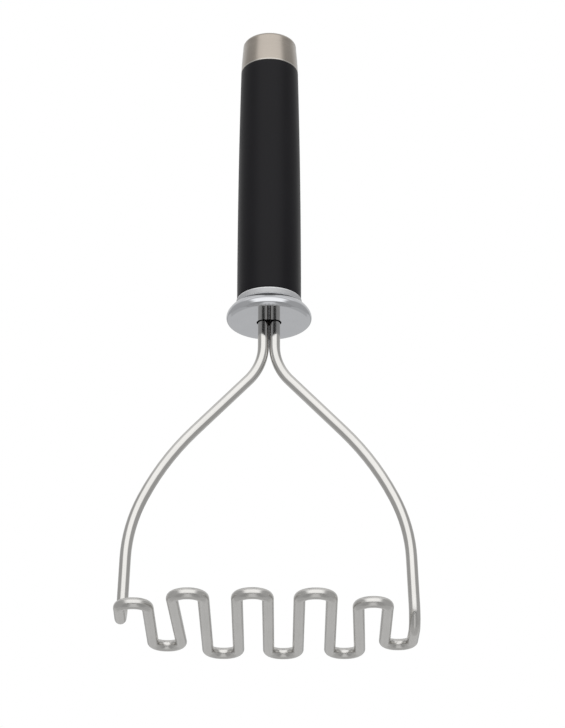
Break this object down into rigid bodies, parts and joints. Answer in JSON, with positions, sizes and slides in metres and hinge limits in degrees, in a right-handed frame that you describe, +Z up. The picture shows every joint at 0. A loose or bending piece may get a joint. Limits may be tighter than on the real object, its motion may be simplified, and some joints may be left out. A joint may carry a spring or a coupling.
{
  "type": "wire potato masher",
  "caption": "Hand masher: round black grip with a steel end cap, chrome collar and guard disc, and one bent wire forming legs and a flat zigzag head for mashing.",
  "frame": {"origin": "on the handle's axis, level with the underside of the wire head that it stands on", "axes": "+Z up the handle to the end cap; X across the head from leg to leg; Y along the head's runs"},
  "size_m": [0.1158, 0.0732, 0.26],
  "materials": {
    "wire_steel": "polished stainless wire, satin underneath",
    "disc_chrome": "bright chrome plate",
    "ring_chrome": "satin chrome plate",
    "seal_rubber": "soft black silicone",
    "ferrule_steel": "plain crimped steel",
    "core_nylon": "moulded black nylon",
    "grip_plastic": "satin black",
    "cap_steel": "satin, brushed round the cap",
    "plug_nylon": "moulded nylon"
  },
  "bodies": {
    "root": {"masher_wire": "wire_steel", "guard_disc": "disc_chrome", "collar_ring": "ring_chrome", "neck_seal": "seal_rubber", "shank_ferrule": "ferrule_steel", "handle_core": "core_nylon", "grip_sleeve": "grip_plastic", "end_cap": "cap_steel", "cap_plug": "plug_nylon"}
  },
  "joints": []
}
